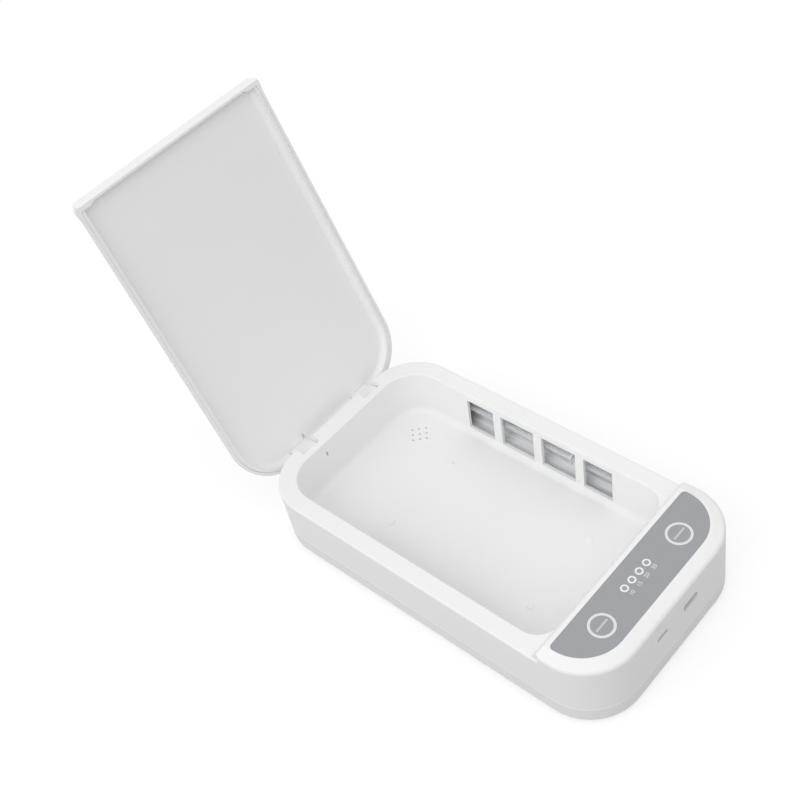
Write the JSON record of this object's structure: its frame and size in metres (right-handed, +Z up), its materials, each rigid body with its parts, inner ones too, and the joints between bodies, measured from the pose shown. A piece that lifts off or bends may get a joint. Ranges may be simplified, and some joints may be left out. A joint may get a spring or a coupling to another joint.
{
  "type": "phone sanitizer box",
  "caption": "Rounded white box with a hinged lid, a tray lit by lamps behind side windows, and a raised control end with push buttons.",
  "frame": {"origin": "centre of the base's footprint, on the plane that the feet stand on", "axes": "+Z up, +Y from the control end towards the hinges, +X to the right seen from the control end"},
  "size_m": [0.1212, 0.29, 0.1944],
  "materials": {
    "white_abs": "fine matte moulded ABS",
    "button_white": "matte moulded ABS",
    "label_grey": "screen-printed polycarbonate film",
    "button_grey": "printed film disc",
    "light_guide": "milky polycarbonate",
    "smoked_window": "tinted polycarbonate",
    "pcb_green": "solder mask on glass epoxy",
    "switch_black": "moulded nylon",
    "led_cream": "moulded lamp body with phosphor",
    "socket_steel": "tin-plated stamped steel",
    "quartz_glass": "clear fused quartz",
    "holder_silicone": "soft white silicone",
    "clip_white": "moulded white nylon",
    "bright_aluminium": "brushed bright sheet",
    "ferrite_and_tape": "ferrite core with taped winding",
    "capacitor_sleeve": "shrunk sleeve",
    "lead_insulation": "silicone insulation",
    "felt": "pressed wool felt",
    "sensor_black": "moulded epoxy",
    "magnet_nickel": "nickel-plated magnet",
    "pin_steel": "ground steel rod",
    "screw_steel": "zinc-plated steel",
    "foot_rubber": "moulded grey silicone rubber"
  },
  "bodies": {
    "base": {"main_housing": "white_abs", "bottom_cover": "white_abs", "rubber_feet": "foot_rubber", "cover_screws": "screw_steel", "board_screws": "screw_steel", "control_label": "label_grey", "light_pipe": "light_guide", "indicator_windows": "smoked_window", "control_board": "pcb_green", "switch_bodies": "switch_black", "indicator_leds": "led_cream", "usb_c_socket": "socket_steel", "micro_usb_socket": "socket_steel", "lamp_driver_board": "pcb_green", "driver_transformers": "ferrite_and_tape", "driver_capacitors": "capacitor_sleeve", "lamp_leads": "lead_insulation", "lamp_holders": "holder_silicone", "lamp_clips": "clip_white", "aroma_cup": "white_abs", "aroma_pad": "felt", "lid_sensor": "sensor_black", "hinge_pins": "pin_steel", "uv_lamp_left": "quartz_glass", "uv_lamp_right": "quartz_glass", "reflector_left": "bright_aluminium", "reflector_right": "bright_aluminium"},
    "lid": {"lid_shell": "white_abs", "lid_liner": "white_abs", "lid_magnet": "magnet_nickel"},
    "button_left": {"button_cap_left": "button_white", "button_face_left": "button_grey", "switch_plunger_left": "switch_black"},
    "button_right": {"button_cap_right": "button_white", "button_face_right": "button_grey", "switch_plunger_right": "switch_black"}
  },
  "joints": [
    {"name": "lid_hinge", "type": "hinge", "parent": "base", "child": "lid", "pos_m": [0, 0.106, 0.0307], "axis": [1, 0, 0], "range_deg": [0, 111]},
    {"name": "button_left_press", "type": "slide", "parent": "base", "child": "button_left", "axis": [0, 0, -1], "range_m": [0, 0.0004], "stiffness_N_per_m": 2000},
    {"name": "button_right_press", "type": "slide", "parent": "base", "child": "button_right", "axis": [0, 0, -1], "range_m": [0, 0.0004], "stiffness_N_per_m": 2000}
  ]
}
